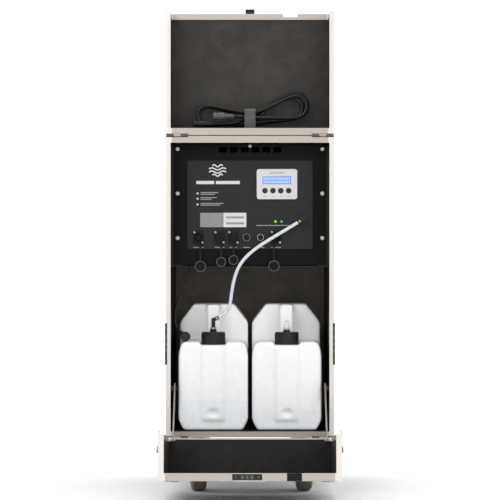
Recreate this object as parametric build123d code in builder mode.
"""A fog machine built into its own road case.

The case stands on four casters. Its front is two shallow box doors: the upper door is swung up and
stands on the case, and the lower door is folded down into a tray held by two slotted stays.
Behind the doors are the machine's control panel and, under it, a bay with two fluid jugs.
Millimetres, +Z up, controls facing -Y.
"""

import os
from math import cos, radians, sin, tan

from build123d import *

# Case. Depths are counted from the seam, the plane where the doors meet the case.
seam = -1.622
case_half = 194.0
ply = 9.0
case_floor = 133.5
case_top = 828.5
case_depth = 418.5
proud = 1.5
angle_leg = 26.0
corner_size, corner_wall, corner_round = 31.0, 3.5, 6.5

# Aluminium rims on the mating edges
rim_gap = 0.5
rim_web = 2.5
rim_out = 196.2
rim_opening = 184.4
rim_leg = 24.0
rim_top = 16.0
rim_bottom = 13.5
groove = 3.4
tongue = 2.6

# Doors. Heights in a door are counted from its hinge axis.
hinge_low = 130.0
hinge_high = 832.0
door_gap = 3.5
door_depth = 98.5
lower_reach = 410.5
upper_reach = 290.5
lower_angle = 84.0
rail_depth = 17.0
notch_x, notch_width, notch_deep = 95.0, 32.0, 7.0
hinge_x = (144.0, 194.0)
pin_r = 2.0
knuckle_r = 3.6
leaf = 1.5

# Stays between the case and the lower door
stay_radius = 114.0
stay_x = 174.7
stay_lead = 4.0
stay_lag = 4.5
stay_slot = 6.8
stay_pin_r = 3.0

# Butterfly latches
latch_reach = 12.5
latch_width = 22.0
hook_drop = (-5.0, -4.0)
side_latch_w, centre_latch_w = 98.0, 72.0
side_latch_d = 218.0
key_x = -30.0

# Casters
wheel_r, wheel_w = 50.0, 36.0
caster_x, front_caster_y, rear_caster_y = 124.0, 110.0, 350.0
caster_trail = 32.0
caster_turn = 5.0
axle_r = 5.0
running = 0.05

# Machine
panel_y = 60.0
panel_x, panel_z = (-179.0, 179.0), (531.0, 814.0)
fascia_x, fascia_z = (-146.7, 146.7), (568.5, 776.0)
fascia_rise = 3.0
screw_x, screw_z = 170.0, (803.0, 698.5, 594.0)
chassis_half, chassis_back = 160.0, 392.0
socket_z = 595.5
power_in_x, data_x, power_out_x = -121.0, (-71.5, -39.0), 60.7
fuse_x, breaker_x = -8.0, 24.6
port_x, port_z = 124.0, 637.5
display_x, display_z = (15.5, 111.0), (684.8, 756.0)
glass_x, glass_z = (29.3, 96.2), (720.4, 738.4)
button_x, button_z, button_r = (35.0, 53.7, 72.2, 90.7), 705.0, 6.0
face_y = panel_y - fascia_rise

# Jugs
jug_x, jug_half = 85.8, 81.0
jug_base, jug_shoulder, jug_top = 146.0, 352.0, 438.0
jug_front, jug_back = 14.0, 254.0
jug_wall = 2.0
neck_y, neck_r = 52.0, 23.0
cap_r, cap_z = 27.0, (345.0, 374.0)
fluid_left, fluid_right = 217.0, 195.0
elbow_z, elbow_lean = 402.5, 25.0

# Side handles and the fog outlet
handle_y, handle_z = 215.0, 690.0
outlet_x, outlet_z, outlet_r = 0.0, 690.0, 45.0

# Cords
hose_r, lead_r = 4.0, 2.2
nipple = 14.0

TURN = {"x": (0, 90, 0), "y": (90, 0, 0), "z": (0, 0, 0)}
case = Plane((0, seam, 0))
front = Plane(origin=(0, seam, 0), x_dir=(1, 0, 0), z_dir=(0, -1, 0))
side = Plane(origin=(0, seam, 0), x_dir=(0, 1, 0), z_dir=(1, 0, 0))
upper = Plane(origin=(0, seam, hinge_high), x_dir=(-1, 0, 0), z_dir=(0, 0, 1))
lean = radians(lower_angle)
lower = Plane(origin=(0, seam, hinge_low), x_dir=(1, 0, 0), z_dir=(0, -sin(lean), cos(lean)))


def block(x, y, z, mode=Mode.ADD):
    """A box between two limits along each axis of the working plane."""
    with Locations(((x[0] + x[1]) / 2, (y[0] + y[1]) / 2, (z[0] + z[1]) / 2)):
        Box(x[1] - x[0], y[1] - y[0], z[1] - z[0], mode=mode)


def rod(radius, axis, at, ends, mode=Mode.ADD):
    """A cylinder along an axis, at its other two coordinates, between two ends."""
    middle = (ends[0] + ends[1]) / 2
    centre = {"x": (middle, *at), "y": (at[0], middle, at[1]), "z": (*at, middle)}[axis]
    with Locations(centre):
        Cylinder(radius, ends[1] - ends[0], rotation=TURN[axis], mode=mode)


def within(frame, origin, x_dir, z_dir):
    """A plane whose origin and directions are given in another plane's coordinates."""
    along = frame.from_local_coords(Vector(*x_dir)) - frame.origin
    out = frame.from_local_coords(Vector(*z_dir)) - frame.origin
    return Plane(origin=frame.from_local_coords(Vector(*origin)), x_dir=along, z_dir=out)


def join(piece, frame=case, mode=Mode.ADD):
    """Add a solid that already stands in its place to a part whose working plane is frame."""
    with Locations(frame.location.inverse()):
        add(piece, mode=mode)


def write(piece, name):
    """Label a finished piece and write its STEP file."""
    piece.part.label = name
    export_step(piece.part, f"parts/{name}.step")


os.makedirs("parts", exist_ok=True)


# ---------------------------------------------------------------- latches
# A latch plane has +X towards the part it holds on to, +Z out of the case, and 0 on the seam.

side_seat = {s: within(lower, (s * case_half, 0, side_latch_d), (0, 1, 0), (s, 0, 0)) for s in (-1, 1)}
side_mate = {s: within(case, (s * case_half, 0, hinge_low + side_latch_d), (0, 1, 0), (s, 0, 0))
             for s in (-1, 1)}
centre_seat = within(upper, (0, -door_depth, upper_reach + rim_gap), (0, 0, 1), (0, -1, 0))
centre_mate = within(lower, (0, -door_depth, lower_reach + rim_gap), (0, 0, -1), (0, -1, 0))
dish_along, pan_along = (-54.0, -3.2), (-50.0, -6.0)
catch_along, catch_pan = (3.1, 46.0), (4.1, 28.0)
pan_deep, flange, sheet_t, edge = 7.0, 2.2, 1.0, 8.0
bar_top = 2.9
hook_z, hook_t = 7.4, 3.0
cam_r, spindle_r, wing_z = 8.0, 4.0, 10.9


def latch_room(plane, width, along, pan):
    """The space for a latch dish: its pocket in the plywood and its flange's place in the trim."""
    with BuildPart(plane) as room:
        block((pan[0] - 1.3, pan[1] + 1.3), (-width / 2 + edge - 0.3, width / 2 - edge + 0.3),
              (-pan_deep - 0.3, 1))
        block((along[0] - 0.1, along[1] + 0.1), (-width / 2 - 0.3, width / 2 + 0.3), (0, 20))
    return room.part


def latch_dish(plane, width, along, pan, bar=False):
    """A pressed dish with a pan sunk in it, and a bar to hook on if it is a keeper."""
    with BuildPart(plane) as dish:
        block(along, (-width / 2, width / 2), (0, flange))
        block((pan[0] - sheet_t, pan[1] + sheet_t), (-width / 2 + edge, width / 2 - edge), (-pan_deep, 1))
        block(pan, (-width / 2 + edge + sheet_t, width / 2 - edge - sheet_t), (sheet_t - pan_deep, 3),
              mode=Mode.SUBTRACT)
        if bar:
            block((along[0], pan[0]), (-width / 2 + edge, width / 2 - edge), (0, bar_top))
    return dish.part


def latch_key(plane):
    """The butterfly key: a cam under the hook, a spindle through it and two wings."""
    with BuildPart(plane) as key:
        rod(cam_r, "z", (key_x, 0), (sheet_t - pan_deep + 0.3, hook_z + hook_drop[1] - 0.4))
        rod(spindle_r, "z", (key_x, 0), (hook_z + hook_drop[1] - 0.5, wing_z + 0.1))
        with BuildSketch(plane.offset(wing_z)):
            with Locations((key_x, -11), (key_x, 11)):
                Ellipse(8, 10)
            with Locations((key_x, 0)):
                Circle(6)
        extrude(amount=2.5)
    return key.part


def latch_hook(plane):
    """The sliding hook: a slotted strap with a lip at its end."""
    half = latch_width / 2
    with BuildPart(plane) as hook:
        block((-42, latch_reach), (-half, half), (hook_z, hook_z + hook_t))
        block((latch_reach - 3, latch_reach), (-half, half), (hook_z - 3, hook_z + 1))
        block((key_x - spindle_r - 0.4, key_x - hook_drop[0] + spindle_r + 0.4),
              (-spindle_r - 0.3, spindle_r + 0.3), (hook_z - 1, hook_z + hook_t + 1), mode=Mode.SUBTRACT)
    return hook.part


# ---------------------------------------------------------------- hinges

def hinge_side(frame, sign, inner):
    """Both hinges' leaves and knuckles on one side of an axis: leaves lie towards sign along y."""
    with BuildPart(frame) as side_of_hinge:
        for s in (-1, 1):
            ends = sorted((s * hinge_x[0], s * hinge_x[1]))
            third = (ends[1] - ends[0]) / 3
            spans = [(ends[0] + third + 0.3, ends[1] - third - 0.3)] if inner else [
                (ends[0], ends[0] + third), (ends[1] - third, ends[1])]
            leaf_z = (0.3, 0.3 + leaf)
            block(ends, sorted((sign * 4.6, sign * 23)), leaf_z)
            for span in spans:
                rod(knuckle_r, "x", (0, 0), span)
                block(span, sorted((sign * 2.9, sign * 5)), leaf_z)
                if inner:
                    rod(pin_r + running, "x", (0, 0), span, mode=Mode.SUBTRACT)
            if not inner:
                rod(pin_r, "x", (0, 0), ends)
    return side_of_hinge.part


def hinge_room(frame):
    """The space cut from the rims around the hinge barrels and leaves."""
    with BuildPart(frame) as room:
        for s in (-1, 1):
            ends = sorted((s * (hinge_x[0] - 0.5), s * (hinge_x[1] + 3)))
            rod(knuckle_r + 0.6, "x", (0, 0), ends)
            block(ends, (-24.5, 24.5), (-0.2, leaf + 0.4))
    return room.part


# The two hinge frames have +Z into the part that carries the leaves when the doors are open.
low_case = Plane((0, seam, hinge_low))
high_case = Plane(origin=(0, seam, hinge_high), x_dir=(-1, 0, 0), z_dir=(0, 0, -1))


# ---------------------------------------------------------------- case

def corner_piece(frame, point, inward):
    """A rounded corner: its outer point, and which way the plywood lies from it along each axis."""
    with BuildPart(frame) as corner:
        block(*(sorted((p, p + d * corner_size)) for p, d in zip(point, inward)))
        tip = frame.from_local_coords(Vector(*point))
        fillet(corner.edges().sort_by_distance(tip)[:3], corner_round)
        block(*(sorted((p + d * corner_wall, p + d * 50)) for p, d in zip(point, inward)),
              mode=Mode.SUBTRACT)
    return corner.part


inner_half = case_half - ply
low, high = hinge_low + 1, hinge_high - 1

with BuildPart(case) as case_walls:
    block((-case_half, case_half), (rim_gap + rim_web, case_depth - ply), (case_floor, case_top))
    block((-inner_half, inner_half), (0, case_depth), (case_floor + ply, case_top - ply),
          mode=Mode.SUBTRACT)
    for s in (-1, 1):
        join(latch_room(side_mate[s], side_latch_w, catch_along, catch_pan), mode=Mode.SUBTRACT)
        block(sorted((s * 180, s * 200)), (handle_y - 63.5, handle_y + 63.5),
              (handle_z - 44.5, handle_z + 44.5), mode=Mode.SUBTRACT)
write(case_walls, "case_walls")

with BuildPart(case) as case_back_wall:
    block((-case_half, case_half), (case_depth - ply, case_depth), (case_floor, case_top))
    rod(outlet_r + 5, "y", (outlet_x, outlet_z), (case_depth - 20, case_depth + 5), mode=Mode.SUBTRACT)
write(case_back_wall, "case_back_wall")

with BuildPart(case) as case_front_rim:
    block((-rim_out, rim_out), (rim_gap, rim_leg), (low, high))
    block((-case_half, case_half), (rim_gap + rim_web, 30), (case_floor, case_top), mode=Mode.SUBTRACT)
    block((-inner_half, inner_half), (rim_gap, 14), (case_floor + ply, case_top - ply))
    block((-rim_opening, rim_opening), (0, 30), (low + rim_bottom, high - rim_top), mode=Mode.SUBTRACT)
    for s in (-1, 1):
        join(latch_room(side_mate[s], side_latch_w, catch_along, catch_pan), mode=Mode.SUBTRACT)
        groove_x = s * (rim_opening + rim_out) / 2
        block((groove_x - groove / 2, groove_x + groove / 2), (0, rim_gap + 1.2), (low + 20, high - 20),
              mode=Mode.SUBTRACT)
    join(hinge_room(low_case), mode=Mode.SUBTRACT)
    join(hinge_room(high_case), mode=Mode.SUBTRACT)
write(case_front_rim, "case_front_rim")

window_x = (angle_leg - case_half, case_half - angle_leg)
window_z = (case_floor + angle_leg, case_top - angle_leg)
with BuildPart(case) as case_edge_trim:
    block((-case_half - proud, case_half + proud), (rim_leg + 0.2, case_depth + proud),
          (case_floor - proud, case_top + proud))
    block((-300, 300), (0, case_depth - angle_leg), window_z, mode=Mode.SUBTRACT)
    block(window_x, (0, case_depth - angle_leg), (0, 1000), mode=Mode.SUBTRACT)
    block(window_x, (0, 600), window_z, mode=Mode.SUBTRACT)
    block((-case_half, case_half), (0, case_depth), (case_floor, case_top), mode=Mode.SUBTRACT)
    for s in (-1, 1):
        for z, up in ((case_floor, -1), (case_top, 1)):
            outer = (s * (case_half + corner_wall), case_depth + corner_wall, z + up * corner_wall)
            join(corner_piece(case, outer, (-s, -1, -up)))
write(case_edge_trim, "case_edge_trim")

with BuildPart(case) as mounting_rails:
    stay_pin = (stay_radius * sin(radians(stay_lag)), hinge_low + stay_radius * cos(radians(stay_lag)))
    for s in (-1, 1):
        block(sorted((s * (inner_half - 2), s * inner_half)), (panel_y + 2.2, 100), (527, 812))
        block(sorted((s * 162, s * inner_half)), (panel_y + 2.2, panel_y + 4.2), (527, 812))
        for z in screw_z:
            rod(3.2, "y", (s * screw_x, z), (50, 80), mode=Mode.SUBTRACT)
        rod(stay_pin_r, "x", stay_pin, sorted((s * 171.5, s * rim_opening)))
        rod(7, "x", stay_pin, sorted((s * (stay_x + 2), s * rim_opening)))
        rod(6, "x", stay_pin, sorted((s * 170, s * (stay_x - 2))))
write(mounting_rails, "mounting_rails")

with BuildPart() as case_hinges:
    add(hinge_side(low_case, 1, False))
    add(hinge_side(high_case, 1, False))
write(case_hinges, "case_hinges")

with BuildPart(case) as side_dishes:
    for s in (-1, 1):
        join(latch_dish(side_mate[s], side_latch_w, catch_along, catch_pan, bar=True))
        block(sorted((s * case_half, s * (case_half + 1.5))), (handle_y - 75, handle_y + 75),
              (handle_z - 56, handle_z + 56))
        block(sorted((s * 178, s * (case_half + 1))), (handle_y - 63, handle_y + 63),
              (handle_z - 44, handle_z + 44))
        block(sorted((s * 179.2, s * 200)), (handle_y - 61.8, handle_y + 61.8),
              (handle_z - 42.8, handle_z + 42.8), mode=Mode.SUBTRACT)
write(side_dishes, "side_dishes")

with BuildPart(case) as outlet_collar:
    rod(outlet_r + 4.8, "y", (outlet_x, outlet_z), (case_depth - 14, case_depth + 1))
    rod(outlet_r + 13, "y", (outlet_x, outlet_z), (case_depth, case_depth + 3))
    rod(outlet_r, "y", (outlet_x, outlet_z), (case_depth - 20, case_depth + 5), mode=Mode.SUBTRACT)
write(outlet_collar, "outlet_collar")

with BuildPart(case) as bay_mat:
    block((-180, 180), (16, 400), (case_floor + ply, jug_base))
write(bay_mat, "bay_mat")


def side_handle(s):
    """A sprung bail: two arms on pivot pins and a round grip."""
    with BuildPart(case) as bail:
        for arm in (-52, 52):
            block(sorted((s * 184, s * 192)), (handle_y + arm - 4, handle_y + arm + 4),
                  (handle_z - 33, handle_z + 36))
            rod(3, "y", (s * 188, handle_z + 31), sorted((handle_y + arm, handle_y + arm * 60 / 52)))
        rod(5, "y", (s * 188, handle_z - 29), (handle_y - 56, handle_y + 56))
    return bail


for s, name in ((-1, "handle_left"), (1, "handle_right")):
    write(side_handle(s), name)


# ---------------------------------------------------------------- casters

def caster_plane(x, y, turn):
    """A caster's own plane: origin on the floor under its kingpin."""
    return Plane((x, seam + y, 0)).rotated((0, 0, turn))


def caster_wheel(plane, trail):
    """A rubber wheel with a hub, turned about its axle."""
    seat = within(plane, (0, -trail, wheel_r), (1, 0, 0), (0, -1, 0))
    half = wheel_w / 2
    edge_points = [(-half, axle_r + running), (-half, 15), (-half + 6, 18), (-half + 6, 31), (-half, 34),
                   (-half, 39), (-half + 1.4, 45), (-half + 5, wheel_r - 0.8), (-half + 9, wheel_r)]
    with BuildPart() as wheel:
        with BuildSketch(seat):
            with BuildLine():
                Polyline(*edge_points, *((-x, y) for x, y in reversed(edge_points)), close=True)
            make_face()
        revolve(axis=Axis(seat.origin, seat.x_dir))
    return wheel


caster_names = {"front_left": (-1, front_caster_y, caster_turn, caster_trail),
                "front_right": (1, front_caster_y, caster_turn, caster_trail),
                "rear_left": (-1, rear_caster_y, 0, 0), "rear_right": (1, rear_caster_y, 0, 0)}
swivel_z, plate_z = 121.0, 130.0
crown_z = (116.0, swivel_z - 0.4)

with BuildPart(case) as caster_mounts:
    for s, y, *_ in caster_names.values():
        block((s * caster_x - 44, s * caster_x + 44), (y - 38, y + 38), (plate_z, case_floor))
        for bolt in ((-34, -28), (-34, 28), (34, -28), (34, 28)):
            rod(5, "z", (s * caster_x + bolt[0], y + bolt[1]), (plate_z - 4, plate_z + 1))
        rod(27, "z", (s * caster_x, y), (swivel_z, plate_z + 1))
write(caster_mounts, "caster_mounts")

for name in ("front_left", "front_right"):
    s, y, turn, trail = caster_names[name]
    plane = caster_plane(s * caster_x, y, turn)
    with BuildPart(plane) as caster_fork:
        rod(30, "z", (0, 0), crown_z)
        for leg_side in (-1, 1):
            with BuildSketch(within(plane, (leg_side * 21 - 1.5, 0, 0), (0, 1, 0), (1, 0, 0))):
                Polygon((-trail - 12, wheel_r), (-trail + 12, wheel_r), (18, crown_z[0] + 1),
                        (-24, crown_z[0] + 1), align=None)
                with Locations((-trail, wheel_r)):
                    Circle(12)
            extrude(amount=3)
            rod(8, "x", (-trail, wheel_r), sorted((leg_side * 22, leg_side * 25)))
        rod(axle_r, "x", (-trail, wheel_r), (-24, 24))
    write(caster_fork, f"caster_fork_{name}")

with BuildPart(case) as rear_forks:
    for name in ("rear_left", "rear_right"):
        s, y, *_ = caster_names[name]
        rod(30, "z", (s * caster_x, y), crown_z)
        for leg_side in (-1, 1):
            with BuildSketch(within(case, (s * caster_x + leg_side * 21 - 1.5, 0, 0), (0, 1, 0), (1, 0, 0))):
                Polygon((y - 14, wheel_r), (y + 14, wheel_r), (y + 26, crown_z[0] + 1),
                        (y - 26, crown_z[0] + 1), align=None)
                with Locations((y, wheel_r)):
                    Circle(14)
            extrude(amount=3)
        rod(axle_r, "x", (y, wheel_r), (s * caster_x - 25, s * caster_x + 25))
write(rear_forks, "rear_forks")

for name, (s, y, turn, trail) in caster_names.items():
    write(caster_wheel(caster_plane(s * caster_x, y, turn), trail), f"caster_wheel_{name}")


# ---------------------------------------------------------------- control panel

socket_x = (power_in_x, *data_x, power_out_x)
flange_w, flange_h, barrel_r = 26.0, 31.0, 11.8

with BuildPart(case) as front_panel:
    with BuildSketch(front.offset(-panel_y)):
        with Locations((0, (panel_z[0] + panel_z[1]) / 2)):
            RectangleRounded(panel_x[1] - panel_x[0], panel_z[1] - panel_z[0], 2)
    extrude(amount=-2)
    with BuildSketch(front.offset(-face_y)):
        with Locations((0, (fascia_z[0] + fascia_z[1]) / 2)):
            RectangleRounded(fascia_x[1] - fascia_x[0], fascia_z[1] - fascia_z[0], 6)
    extrude(amount=-fascia_rise)
    with BuildSketch(front):
        with Locations((0, 801)):
            with GridLocations(25.5, 1, 6, 1):
                RectangleRounded(18, 13, 2)
        with Locations(*((s * screw_x, z) for s in (-1, 1) for z in screw_z)):
            Circle(3.2)
        with Locations(*((x, socket_z) for x in socket_x)):
            Circle(barrel_r + 0.3)
        with Locations((fuse_x, socket_z), (breaker_x, socket_z)):
            Circle(7.3)
        with Locations((port_x, port_z)):
            Circle(6.3)
        with Locations(((display_x[0] + display_x[1]) / 2, (display_z[0] + display_z[1]) / 2)):
            Rectangle(88, 62)
    extrude(amount=-100, mode=Mode.SUBTRACT)
write(front_panel, "front_panel")

with BuildPart(case) as panel_screws:
    for s in (-1, 1):
        for z in screw_z:
            rod(3, "y", (s * screw_x, z), (panel_y - 1, panel_y + 7))
            rod(5.5, "y", (s * screw_x, z), (panel_y - 2.6, panel_y))
    heads = panel_screws.faces().filter_by(Axis.Y).group_by(Axis.Y)[0]
    fillet(heads.edges(), 1.6)
    for s in (-1, 1):
        for z in screw_z:
            rod(1.8, "y", (s * screw_x, z), (panel_y - 3, panel_y - 1.2), mode=Mode.SUBTRACT)
write(panel_screws, "panel_screws")

bezel_front, bezel_t = face_y - 5.0, 5.0
with BuildPart(case) as display_bezel:
    centre = ((display_x[0] + display_x[1]) / 2, (display_z[0] + display_z[1]) / 2)
    with BuildSketch(front.offset(-bezel_front)):
        with Locations(centre):
            RectangleRounded(display_x[1] - display_x[0], display_z[1] - display_z[0], 6)
    extrude(amount=-bezel_t)
    fillet(display_bezel.faces().sort_by(Axis.Y)[0].edges(), 1.5)
    with BuildSketch(front.offset(-bezel_front)):
        with Locations(((glass_x[0] + glass_x[1]) / 2, (glass_z[0] + glass_z[1]) / 2)):
            Rectangle(glass_x[1] - glass_x[0], glass_z[1] - glass_z[0])
        with Locations(*((x, button_z) for x in button_x)):
            Circle(button_r + 0.4)
    extrude(amount=-bezel_t, mode=Mode.SUBTRACT)
write(display_bezel, "display_bezel")

with BuildPart(case) as lcd_glass:
    block((glass_x[0] + 0.2, glass_x[1] - 0.2), (bezel_front + 1.2, bezel_front + 3.2),
          (glass_z[0] + 0.2, glass_z[1] - 0.2))
write(lcd_glass, "lcd_glass")

for i, x in enumerate(button_x, 1):
    with BuildPart(case) as button:
        rod(button_r, "y", (x, button_z), (bezel_front - 1.8, face_y + 1))
        fillet(button.faces().sort_by(Axis.Y)[0].edges(), 1)
    write(button, f"button_{i}")


def flange_plate(x, depth):
    """A socket's square flange with its two corner screws, standing on the fascia."""
    with BuildSketch(front.offset(-face_y)) as plate:
        with Locations((x, socket_z)):
            RectangleRounded(flange_w, flange_h, 3)
    extrude(plate.sketch, amount=depth)
    for dx, dz in ((-9.5, 12), (9.5, -12)):
        rod(2.6, "y", (x + dx, socket_z + dz), (face_y - depth - 1.2, face_y - depth + 0.2))


with BuildPart(case) as panel_sockets:
    for x in (power_in_x, power_out_x):
        flange_plate(x, 2)
        rod(barrel_r, "y", (x, socket_z), (face_y - 4, face_y + 22))
        rod(9.6, "y", (x, socket_z), (face_y - 5, face_y + 10), mode=Mode.SUBTRACT)
        rod(6, "y", (x, socket_z), (face_y - 1, face_y + 11))
        for pin_z in (-3, 3):
            rod(1.2, "y", (x, socket_z + pin_z), (face_y - 2, face_y + 8), mode=Mode.SUBTRACT)
    for x in data_x:
        flange_plate(x, 2)
        rod(barrel_r, "y", (x, socket_z), (face_y - 3, face_y + 22))
        rod(10, "y", (x, socket_z), (face_y - 4, face_y + 1), mode=Mode.SUBTRACT)
        rod(7.6, "y", (x, socket_z), (face_y - 2, face_y + 2))
        for pin_x, pin_z in ((-3.4, 1.5), (3.4, 1.5), (0, -3.4)):
            rod(1.3, "y", (x + pin_x, socket_z + pin_z), (face_y - 3, face_y + 8), mode=Mode.SUBTRACT)
    rod(7, "y", (fuse_x, socket_z), (face_y - 0.5, face_y + 25))
    rod(10, "y", (fuse_x, socket_z), (face_y - 7, face_y))
    block((fuse_x - 1, fuse_x + 1), (face_y - 8, face_y - 5), (socket_z - 7, socket_z + 7),
          mode=Mode.SUBTRACT)
    rod(7, "y", (breaker_x, socket_z), (face_y - 0.5, face_y + 25))
    rod(8.8, "y", (breaker_x, socket_z), (face_y - 3, face_y))
    rod(4.6, "y", (breaker_x, socket_z), (face_y - 7, face_y - 2))
write(panel_sockets, "panel_sockets")

port_depth, port_way = face_y - 10, Vector(-12.0, 0, -7.1).normalized()
with BuildPart(case) as hose_port:
    rod(6, "y", (port_x, port_z), (face_y - 1, face_y + 12))
    with BuildSketch(front.offset(-face_y)):
        with Locations((port_x, port_z)):
            RegularPolygon(9, 6)
    extrude(amount=4)
    rod(5.6, "y", (port_x, port_z), (face_y - 15, face_y - 3))
    with BuildSketch(within(case, (port_x, port_depth, port_z), (0, 1, 0), tuple(port_way))):
        Circle(4.4)
    extrude(amount=nipple)
write(hose_port, "hose_port")

cap_t = (face_y - 12.5, face_y - 4.5)
strap_t = (face_y - 8.5, face_y - 6.5)
with BuildPart(case) as socket_caps:
    for x, cap_x, cap_z_mid, ring in ((power_in_x, -116, 527.5, 13.5), (data_x[0], -67.5, 538, 12),
                                      (data_x[1], -38.5, 542.5, 12), (power_out_x, 56, 528.5, 13.5)):
        block((cap_x - 2.6, cap_x + 2.6), strap_t, (cap_z_mid + ring - 2, socket_z - 13))
        block((cap_x - 2.6, cap_x + 2.6), (face_y - 8.5, face_y - 4.3), (socket_z - 18.5, socket_z - 13))
        rod(ring, "y", (cap_x, cap_z_mid), cap_t)
        rod(ring - 4.5, "y", (cap_x, cap_z_mid), (cap_t[0] - 1, cap_t[1] - 2), mode=Mode.SUBTRACT)
write(socket_caps, "socket_caps")


# ---------------------------------------------------------------- machine inside

with BuildPart(case) as machine_chassis:
    y_front, floor_z, roof_z = panel_y + 2.2, 527, 812
    block((-chassis_half, chassis_half), (y_front, chassis_back), (floor_z, roof_z))
    block((1.5 - chassis_half, chassis_half - 1.5), (0, chassis_back - 1.5), (floor_z + 1.5, roof_z - 1.5),
          mode=Mode.SUBTRACT)
    rod(14, "y", (outlet_x, outlet_z), (300, 500), mode=Mode.SUBTRACT)
write(machine_chassis, "machine_chassis")

with BuildPart(case) as heater_block:
    block((-48, 48), (150, 370), (outlet_z - 42, outlet_z + 42))
    fillet(heater_block.edges().filter_by(Axis.Y), 10)
    for x in (-36, 36):
        for z in (outlet_z - 30, outlet_z + 30):
            rod(4, "y", (x, z), (140, 380))
write(heater_block, "heater_block")

with BuildPart(case) as nozzle:
    rod(12, "y", (outlet_x, outlet_z), (370, 384))
    rod(8, "y", (outlet_x, outlet_z), (384, 402))
    rod(1.5, "y", (outlet_x, outlet_z), (360, 410), mode=Mode.SUBTRACT)
write(nozzle, "nozzle")

with BuildPart(case) as pump:
    rod(24, "y", (-100, 560), (190, 280))
    block((-126, -74), (195, 260), (529, 545))
    for x in (-108, -92):
        rod(4, "y", (x, 566), (175, 191))
write(pump, "pump")

with BuildPart(case) as control_board:
    block((10, 118), (70, 71.6), (672, 770))
    for x, z, w, h, deep in ((30, 750, 26, 16, 14), (66, 690, 22, 22, 9), (98, 700, 16, 30, 20),
                             (98, 750, 20, 20, 12)):
        block((x - w / 2, x + w / 2), (71.6, 71.6 + deep), (z - h / 2, z + h / 2))
write(control_board, "control_board")


# ---------------------------------------------------------------- jugs

hump_y, grip_half = 125.0, 16.5
grip_y, gap_z = (84.0, 100.0), (366.0, 420.0)
well_half, well_z = 31.0, 344.0


def jug_form(x, inset):
    """The jug's body, or the space that is inset inside it: its side, front and plan outlines crossed."""
    front_edge, back_edge = jug_front + inset, jug_back - inset
    half, top, foot = jug_half - inset, jug_top - inset, jug_base + inset
    with BuildPart(case) as form:
        with BuildSketch(side.offset(x - half)):
            Polygon((front_edge, foot), (back_edge, foot), (back_edge, top - 30), (back_edge - 22, top),
                    (hump_y + inset, top), (hump_y + inset, jug_shoulder - inset),
                    (front_edge, jug_shoulder - inset), align=None)
        extrude(amount=2 * half)
        with BuildSketch(front):
            Polygon((x - half, foot), (x + half, foot), (x + half, top - 46), (x + half - 4, top - 38),
                    (x + 48 - inset, top), (x - 48 + inset, top), (x - half + 4, top - 38),
                    (x - half, top - 46), align=None)
        extrude(amount=-300, mode=Mode.INTERSECT)
        with BuildSketch(case):
            with Locations((x, (jug_front + jug_back) / 2)):
                RectangleRounded(2 * half, back_edge - front_edge, 24 - inset)
        extrude(amount=600, mode=Mode.INTERSECT)
        block((x - well_half - inset, x + well_half + inset), (0, neck_y + well_half + inset),
              (well_z - inset, 400), mode=Mode.SUBTRACT)
    return form.part


def jug(s):
    """A blow-moulded jug: hollow body, open neck in a well, and a grip in front of its hump."""
    x = s * jug_x
    with BuildPart(case) as body:
        join(jug_form(x, 0))
        block((x - 27, x + 27), (jug_front - 2, jug_front + 1), (176, well_z))
        block((x - grip_half, x + grip_half), (grip_y[0], hump_y + 1), (gap_z[1], jug_top))
        block((x - grip_half, x + grip_half), grip_y, (well_z - 1, gap_z[1] + 1))
        fillet(body.edges().filter_by(Axis.X).group_by(Axis.Z)[-1].sort_by(Axis.Y)[0], 8)
        rod(neck_r, "z", (x, neck_y), (well_z - 1, well_z + 23))
        join(jug_form(x, jug_wall), mode=Mode.SUBTRACT)
        rod(neck_r - 3, "z", (x, neck_y), (well_z - 10, well_z + 30), mode=Mode.SUBTRACT)
    return body


def fluid(x, level):
    """The fluid standing in a jug, up to a level."""
    with BuildPart(case) as pool:
        join(jug_form(x, jug_wall + 0.4))
        block((x - 100, x + 100), (0, 300), (level, 600), mode=Mode.SUBTRACT)
    return pool


def cap(x):
    """A screw cap over the neck, with a barbed nipple on top, in the builder that is open."""
    rod(cap_r, "z", (x, neck_y), cap_z)
    rod(neck_r + 0.4, "z", (x, neck_y), (cap_z[0] - 1, cap_z[1] - 3), mode=Mode.SUBTRACT)
    rod(8, "z", (x, neck_y), (cap_z[1] - 1, cap_z[1] + 5))


write(jug(-1), "jug_left")
write(jug(1), "jug_right")
write(fluid(-jug_x, fluid_left), "jug_fluid_left")
write(fluid(jug_x, fluid_right), "jug_fluid_right")

elbow_dir = (cos(radians(elbow_lean)), 0, sin(radians(elbow_lean)))
elbow_tip = (nipple * elbow_dir[0] - jug_x, neck_y, elbow_z + nipple * elbow_dir[2])
with BuildPart(case) as jug_cap_left:
    cap(-jug_x)
    rod(4.6, "z", (-jug_x, neck_y), (cap_z[1], elbow_z + 4))
    with BuildSketch(within(case, (-jug_x, neck_y, elbow_z), (0, 1, 0), elbow_dir)):
        Circle(4.4)
    extrude(amount=nipple)
write(jug_cap_left, "jug_cap_left")

with BuildPart(case) as jug_cap_right:
    cap(jug_x)
    rod(4, "z", (jug_x, neck_y), (cap_z[1], cap_z[1] + 26))
write(jug_cap_right, "jug_cap_right")


# ---------------------------------------------------------------- doors

def notch(frame, reach, s):
    """The cord notch in a door's free edge."""
    with BuildPart(frame) as cut:
        block((s * notch_x - notch_width / 2, s * notch_x + notch_width / 2), (-200, -50),
              (reach - notch_deep, reach + 20))
    return cut.part


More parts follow.
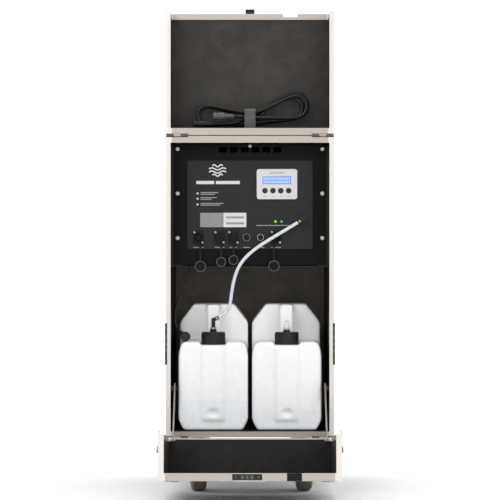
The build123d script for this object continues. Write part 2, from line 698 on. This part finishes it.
def door_shell(frame, reach, s, rooms):
    """A door's plywood: front, hinge wall and two side walls, with no wall at its free edge."""
    with BuildPart(frame) as shell:
        block((-case_half, case_half), (-door_depth, -rim_gap - rim_web), (door_gap, reach - rim_web))
        block((-inner_half, inner_half), (ply - door_depth, 5), (door_gap + ply, reach + 5),
              mode=Mode.SUBTRACT)
        for room in (notch(frame, reach, s), *rooms):
            join(room, frame, Mode.SUBTRACT)
    return shell


def door_trim(frame, reach, rim_height, s, rooms):
    """A door's aluminium: edge angles, the rim on its mating edge, end caps, edge rail and corners."""
    ends, outside = (reach - rim_web, reach), -door_depth - 2
    near_hinge = door_gap + ply
    with BuildPart(frame) as trim:
        block((-case_half - proud, case_half + proud), (-door_depth - proud, -rim_gap),
              (door_gap - proud, reach))
        block((-300, 300), (angle_leg - door_depth, 0), (door_gap + angle_leg, reach - rim_leg),
              mode=Mode.SUBTRACT)
        block(window_x, (-300, angle_leg - door_depth), (door_gap + angle_leg, reach - rim_leg),
              mode=Mode.SUBTRACT)
        block(window_x, (angle_leg - door_depth, 0), (-10, 100), mode=Mode.SUBTRACT)
        block((-rim_out, rim_out), (-rim_leg, -rim_gap), (1, reach))
        block((-case_half, case_half), (-door_depth, -rim_gap - rim_web), (door_gap, reach + 9),
              mode=Mode.SUBTRACT)
        block((-rim_opening, rim_opening), (-50, 0), (1 + rim_height, reach + 9), mode=Mode.SUBTRACT)
        block((-rim_opening, rim_opening), (-4, -rim_gap), (near_hinge, 1 + rim_height))
        for x in (-1, 1):
            block(sorted((x * rim_opening, x * inner_half)), (-12, -rim_gap), (near_hinge, reach))
            block(sorted((x * rim_opening, x * rim_out)), (outside, -rim_gap), ends)
            block(sorted((x * case_half, x * rim_out)), (outside, -rim_gap), (reach - rim_leg, reach))
            block(sorted((x * rim_opening, x * inner_half)), (ply - door_depth, -rim_gap),
                  (reach - 12, reach))
            groove_x = x * (rim_opening + rim_out) / 2
            block((groove_x - tongue / 2, groove_x + tongue / 2), (-rim_gap - 0.5, 0.9), (22, reach - 22))
        block((-rim_out, rim_out), (outside, outside + rail_depth), ends)
        block((-rim_out, rim_out), (outside, -door_depth), (reach - rim_leg, reach))
        block((-rim_opening, rim_opening), (ply - door_depth, outside + rail_depth), (reach - 14, reach))
        for x in (-1, 1):
            outer = (x * (case_half + corner_wall), -door_depth - corner_wall, door_gap - corner_wall)
            join(corner_piece(frame, outer, (-x, 1, 1)), frame)
        for room in (notch(frame, reach, s), hinge_room(frame), *rooms):
            join(room, frame, Mode.SUBTRACT)
        join(hinge_side(frame, -1, True), frame)
    return trim


side_rooms = [latch_room(side_seat[s], side_latch_w, dish_along, pan_along) for s in (-1, 1)]
keeper_room = latch_room(centre_mate, centre_latch_w, catch_along, catch_pan)
centre_room = latch_room(centre_seat, centre_latch_w, dish_along, pan_along)

write(door_shell(upper, upper_reach, -1, [centre_room]), "upper_door_shell")
with BuildPart() as upper_door_trim:
    add(door_trim(upper, upper_reach, rim_top, -1, [centre_room]).part)
    add(latch_dish(centre_seat, centre_latch_w, dish_along, pan_along))
write(upper_door_trim, "upper_door_trim")
write(door_shell(lower, lower_reach, 1, [*side_rooms, keeper_room]), "lower_door_shell")

stay_seat = (-stay_radius * sin(radians(stay_lead)), stay_radius * cos(radians(stay_lead)))
with BuildPart(lower) as lower_door_trim:
    join(door_trim(lower, lower_reach, rim_bottom, 1, [*side_rooms, keeper_room]).part, lower)
    for s in (-1, 1):
        rod(7, "x", stay_seat, sorted((s * (stay_x + 2), s * inner_half)))
        rod(3, "x", stay_seat, sorted((s * 171.5, s * (inner_half - 1))))
        rod(6, "x", stay_seat, sorted((s * 170, s * (stay_x - 2))))
write(lower_door_trim, "lower_door_trim")

with BuildPart() as lower_door_dishes:
    for s in (-1, 1):
        add(latch_dish(side_seat[s], side_latch_w, dish_along, pan_along))
    add(latch_dish(centre_mate, centre_latch_w, catch_along, catch_pan, bar=True))
write(lower_door_dishes, "lower_door_dishes")

latches = {"center_latch": centre_seat, "left_latch": side_seat[-1], "right_latch": side_seat[1]}
for name, seat in latches.items():
    for make, piece in ((latch_key, "key"), (latch_hook, "hook")):
        with BuildPart() as latch_piece:
            add(make(seat))
        write(latch_piece, f"{name}_{piece}")


# ---------------------------------------------------------------- stays

turn_shut = radians(stay_lead + stay_lag)
turn_open = turn_shut + lean
slot_ends = (2 * stay_radius * sin(turn_shut / 2) - 0.6, 2 * stay_radius * sin(turn_open / 2) + 0.6)
stay_end = slot_ends[1] + 16

for s, name in ((-1, "stay_left"), (1, "stay_right")):
    pivot = lower.from_local_coords(Vector(s * stay_x, *stay_seat))
    pin = Vector(s * stay_x, seam + stay_pin[0], stay_pin[1])
    bar_plane = Plane(origin=pivot - Vector(1.5, 0, 0), x_dir=pin - pivot, z_dir=(1, 0, 0))
    with BuildPart() as stay:
        with BuildSketch(bar_plane):
            with Locations(((stay_end - 9) / 2, 0)):
                SlotOverall(stay_end + 9, 18)
            Circle(pin_r + 1 + running, mode=Mode.SUBTRACT)
            with Locations(((slot_ends[0] + slot_ends[1]) / 2, 0)):
                SlotCenterToCenter(slot_ends[1] - slot_ends[0], stay_slot, mode=Mode.SUBTRACT)
        extrude(amount=3)
    write(stay, name)


# ---------------------------------------------------------------- cords and hoses

def tube(points, radius):
    """A round tube along straight runs joined by arcs as large as the runs allow."""
    points = [Vector(*p) + Vector(0, seam, 0) for p in points]
    radii = []
    for before, at, after in zip(points, points[1:], points[2:]):
        turn = radians((at - before).get_angle(after - at))
        run = min((at - before).length, (after - at).length)
        radii.append(0.45 * run / tan(turn / 2))
    with BuildPart() as cord:
        with BuildLine() as route:
            FilletPolyline(*points, radius=radii)
        with BuildSketch(Plane(origin=points[0], z_dir=points[1] - points[0])):
            Circle(radius)
        sweep(path=route.wire())
    return cord


hose_start = tuple(Vector(port_x, port_depth, port_z) + port_way * nipple)
hose_route = [hose_start, (98, 45.5, 622), (80, 42.5, 611), (58, 39.5, 598), (35, 37.5, 584),
              (12, 36.5, 568.5), (-8, 36, 551.5), (-23, 36.5, 533), (-33, 38, 512), (-39.5, 41, 488),
              (-43.5, 45, 463), (-46, 49, 441), (-51, 51, 427), (-60.5, 52, 416), elbow_tip]
write(tube(hose_route, hose_r), "suction_hose")

plug_x, plug_y, plug_z, plug_r = -150.8, 46.0, jug_shoulder + 11.5, 11.3
plug_way = Vector(-0.72, 0.2, 0.66).normalized()
lead_end = tuple(Vector(plug_x, plug_y, plug_z) + plug_way * 17)
lead_route = [(-141, 84, 526.8), (-142, 82, 508), (-150, 78, 488), (-161, 73, 468), (-170, 68, 446),
              (-175.5, 63, 422), (-177, 58, 401), (-174, 52.5, 386), lead_end]
write(tube(lead_route, lead_r), "sensor_lead")

with BuildPart(case) as sensor_plug:
    rod(plug_r, "y", (plug_x, plug_z), (plug_y - 10, plug_y + 10))
    fillet(sensor_plug.faces().sort_by(Axis.Y)[0].edges(), 3)
    with BuildSketch(within(case, (plug_x, plug_y, plug_z), (0.66, 0, 0.72), tuple(plug_way))):
        Circle(4.5)
    extrude(amount=17)
write(sensor_plug, "sensor_plug")

hank_y, hank_floor = (52.0, 86.0), 848.0
with BuildPart(case) as cord_hank:
    with BuildSketch(front.offset(-hank_y[0])):
        Polygon((-136, 862), (-118, hank_floor), (20, 849), (60, hank_floor), (118, 852), (139, 880),
                (139, 905), (120, 936), (96, 942), (50, 928), (16, 893), (-16, 893), (-60, 902),
                (-108, 908), (-126, 890), align=None)
    extrude(amount=hank_y[0] - hank_y[1])
write(cord_hank, "cord_hank")

with BuildPart(case) as cord_plugs:
    rod(9, "x", (41, 879), (-86, -38))
    rod(8, "x", (41, 861), (-132, -84))
write(cord_plugs, "cord_plugs")

tie_y, tie_z, tie_half = (49.0, 88.5), (845.5, 896.0), 13.0
with BuildPart(case) as cord_tie:
    block((-tie_half, tie_half), tie_y, tie_z)
    block((-20, 20), (tie_y[0] + 2, tie_y[1] - 2), (tie_z[0] + 1.5, tie_z[1] - 2), mode=Mode.SUBTRACT)
write(cord_tie, "cord_tie")
